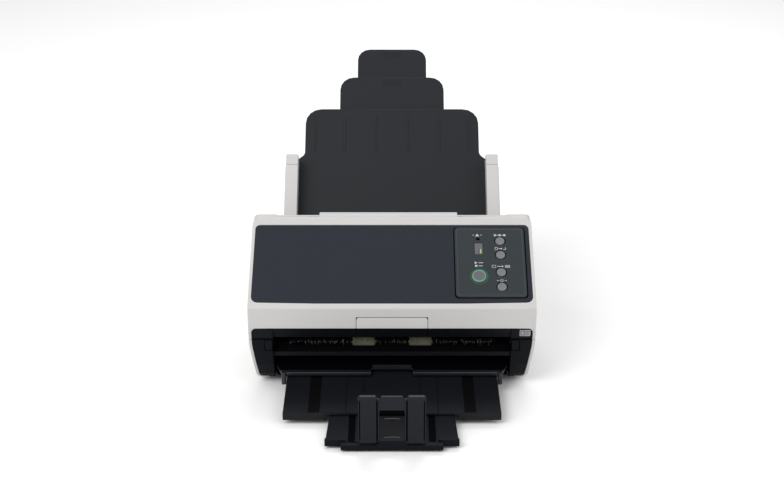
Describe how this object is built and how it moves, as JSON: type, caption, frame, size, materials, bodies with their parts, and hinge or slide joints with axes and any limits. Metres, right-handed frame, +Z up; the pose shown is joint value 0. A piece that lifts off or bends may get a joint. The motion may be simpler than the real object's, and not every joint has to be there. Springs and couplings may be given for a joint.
{
  "type": "sheet fed document scanner",
  "caption": "Desktop sheet fed document scanner with a tilted paper chute, sliding side guides, hinged feeder cover, key panel and pull-out stacker.",
  "frame": {"origin": "bottom centre of the bounding box, on the surface that the scanner stands on", "axes": "+Z up, +Y towards the chute at the back, +X to the right as seen from the front"},
  "size_m": [0.3, 0.4412, 0.2956],
  "materials": {
    "white_shell": "fine spark-eroded texture, satin",
    "dark_shell": "fine spark-eroded texture, matt",
    "front_panel": "smooth satin",
    "operator_panel": "printed sheet, satin",
    "black_plastic": "matt",
    "button_grey": "satin",
    "roller_rubber": "ground rubber, matt",
    "foot_rubber": "moulded rubber",
    "steel": "ground",
    "glass": "polished",
    "circuit_board": "solder mask",
    "nylon": "natural",
    "brush_fibre": "fine conductive fibres"
  },
  "bodies": {
    "base": {"base_tray": "black_plastic", "side_cover_left": "white_shell", "side_cover_right": "white_shell", "cheek_left": "dark_shell", "cheek_right": "dark_shell", "side_frame_left": "steel", "side_frame_right": "steel", "rear_cover": "white_shell", "front_scoop": "dark_shell", "rubber_foot_front_left": "foot_rubber", "rubber_foot_front_right": "foot_rubber", "rubber_foot_rear_left": "foot_rubber", "rubber_foot_rear_right": "foot_rubber", "lower_paper_guide": "dark_shell", "lower_scan_unit": "black_plastic", "lower_scan_glass": "glass", "feed_motor": "steel", "drive_belt": "foot_rubber", "main_board": "circuit_board", "dc_inlet": "black_plastic", "usb_port": "steel", "hinge_pin_left": "steel", "hinge_pin_right": "steel", "paper_chute": "dark_shell"},
    "pick_roller": {"pick_shaft": "steel", "pick_tyre_left": "roller_rubber", "pick_tyre_right": "roller_rubber"},
    "feed_roller": {"feed_shaft": "steel", "feed_tyre_left": "roller_rubber", "feed_tyre_right": "roller_rubber"},
    "eject_roller": {"eject_shaft": "steel", "eject_tyre_left": "roller_rubber", "eject_tyre_right": "roller_rubber"},
    "motor_rotor": {"motor_pulley": "steel"},
    "cover": {"cover_shell": "white_shell", "front_panel": "front_panel", "operator_panel": "operator_panel", "display_window": "glass", "cover_inner_frame": "dark_shell", "upper_scan_unit": "black_plastic", "upper_scan_glass": "glass", "antistatic_brush": "brush_fibre"},
    "tab": {"release_tab": "white_shell"},
    "function_key": {"function_button": "button_grey"},
    "send_key": {"send_button": "button_grey"},
    "manual_feed_key": {"manual_feed_button": "button_grey"},
    "power_key": {"power_button": "button_grey"},
    "scan_key": {"scan_button": "button_grey"},
    "brake": {"brake_roller": "roller_rubber"},
    "feed_idler": {"feed_idler": "roller_rubber"},
    "eject_idler": {"eject_idler": "roller_rubber"},
    "left_guide": {"side_guide_left": "white_shell"},
    "right_guide": {"side_guide_right": "white_shell"},
    "pinion": {"guide_pinion": "nylon"},
    "chute_slide_1": {"chute_extension_1": "dark_shell"},
    "chute_slide_2": {"chute_extension_2": "dark_shell"},
    "stacker": {"stacker_tray": "dark_shell"},
    "stacker_slide_1": {"stacker_extension_1": "dark_shell"},
    "stacker_slide_2": {"stacker_extension_2": "dark_shell"},
    "stopper": {"stacker_stopper": "dark_shell"}
  },
  "joints": [
    {"name": "cover_hinge", "type": "hinge", "parent": "base", "child": "cover", "pos_m": [0, 0.06092, 0.112], "axis": [-1, 0, 0], "range_deg": [0, 38]},
    {"name": "tab_hinge", "type": "hinge", "parent": "cover", "child": "tab", "pos_m": [0, -0.08708, 0.0845], "axis": [-1, 0, 0], "range_deg": [0, 12], "stiffness_Nm_per_rad": 0.1, "springref_deg": -5.73},
    {"name": "function_press", "type": "slide", "parent": "cover", "child": "function_key", "axis": [0, 0.5664, -0.8241], "range_m": [0, 0.0009], "stiffness_N_per_m": 300, "springref_m": -0.0008},
    {"name": "send_press", "type": "slide", "parent": "cover", "child": "send_key", "axis": [0, 0.5664, -0.8241], "range_m": [0, 0.0009], "stiffness_N_per_m": 300, "springref_m": -0.0008},
    {"name": "manual_feed_press", "type": "slide", "parent": "cover", "child": "manual_feed_key", "axis": [0, 0.5664, -0.8241], "range_m": [0, 0.0009], "stiffness_N_per_m": 300, "springref_m": -0.0008},
    {"name": "power_press", "type": "slide", "parent": "cover", "child": "power_key", "axis": [0, 0.5664, -0.8241], "range_m": [0, 0.0009], "stiffness_N_per_m": 300, "springref_m": -0.0008},
    {"name": "scan_press", "type": "slide", "parent": "cover", "child": "scan_key", "axis": [0, 0.5664, -0.8241], "range_m": [0, 0.0009], "stiffness_N_per_m": 300, "springref_m": -0.0008},
    {"name": "feed_spin", "type": "hinge", "parent": "base", "child": "feed_roller", "pos_m": [0, -0.01942, 0.06686], "axis": [1, 0, 0], "continuous": true},
    {"name": "eject_spin", "type": "hinge", "parent": "base", "child": "eject_roller", "pos_m": [0, -0.06383, 0.04818], "axis": [1, 0, 0], "continuous": true},
    {"name": "pick_spin", "type": "hinge", "parent": "base", "child": "pick_roller", "pos_m": [0, 0.0038, 0.07391], "axis": [1, 0, 0], "continuous": true},
    {"name": "motor_spin", "type": "hinge", "parent": "base", "child": "motor_rotor", "pos_m": [0, 0.02692, 0.052], "axis": [1, 0, 0], "continuous": true},
    {"name": "brake_spin", "type": "hinge", "parent": "cover", "child": "brake", "pos_m": [0, -0.00487, 0.09337], "axis": [1, 0, 0], "continuous": true},
    {"name": "feed_idler_spin", "type": "hinge", "parent": "cover", "child": "feed_idler", "pos_m": [0, -0.02565, 0.08084], "axis": [1, 0, 0], "continuous": true},
    {"name": "eject_idler_spin", "type": "hinge", "parent": "cover", "child": "eject_idler", "pos_m": [0, -0.06944, 0.06079], "axis": [1, 0, 0], "continuous": true},
    {"name": "left_guide_slide", "type": "slide", "parent": "base", "child": "left_guide", "axis": [1, 0, 0], "range_m": [0, 0.079]},
    {"name": "right_guide_slide", "type": "slide", "parent": "base", "child": "right_guide", "axis": [1, 0, 0], "range_m": [-0.079, 0]},
    {"name": "pinion_spin", "type": "hinge", "parent": "base", "child": "pinion", "pos_m": [0, 0.05615, 0.13214], "axis": [0, -0.7193, 0.6947], "range_deg": [-570, 0]},
    {"name": "chute_slide_1_out", "type": "slide", "parent": "base", "child": "chute_slide_1", "axis": [0, 0.6947, 0.7193], "range_m": [-0.044, 0]},
    {"name": "chute_slide_2_out", "type": "slide", "parent": "chute_slide_1", "child": "chute_slide_2", "axis": [0, 0.6947, 0.7193], "range_m": [-0.04, 0]},
    {"name": "stacker_in", "type": "slide", "parent": "base", "child": "stacker", "axis": [0, 0.9981, 0.061], "range_m": [0, 0.05]},
    {"name": "stacker_slide_1_in", "type": "slide", "parent": "stacker", "child": "stacker_slide_1", "axis": [0, 0.9981, 0.061], "range_m": [0, 0.044]},
    {"name": "stacker_slide_2_in", "type": "slide", "parent": "stacker_slide_1", "child": "stacker_slide_2", "axis": [0, 0.9981, 0.061], "range_m": [-0.014, 0]},
    {"name": "stopper_fold", "type": "hinge", "parent": "stacker_slide_2", "child": "stopper", "pos_m": [0, -0.21548, 0.01058], "axis": [1, 0, 0], "range_deg": [-86, 0]}
  ],
  "couplings": [
    {"joint": "eject_spin", "follows": "feed_spin", "ratio": 1.125},
    {"joint": "motor_spin", "follows": "feed_spin", "ratio": 1.2857},
    {"joint": "feed_idler_spin", "follows": "feed_spin", "ratio": -1.5},
    {"joint": "eject_idler_spin", "follows": "feed_spin", "ratio": -1.6364},
    {"joint": "right_guide_slide", "follows": "left_guide_slide", "ratio": -1},
    {"joint": "pinion_spin", "follows": "left_guide_slide", "rad_per_m": -125}
  ]
}
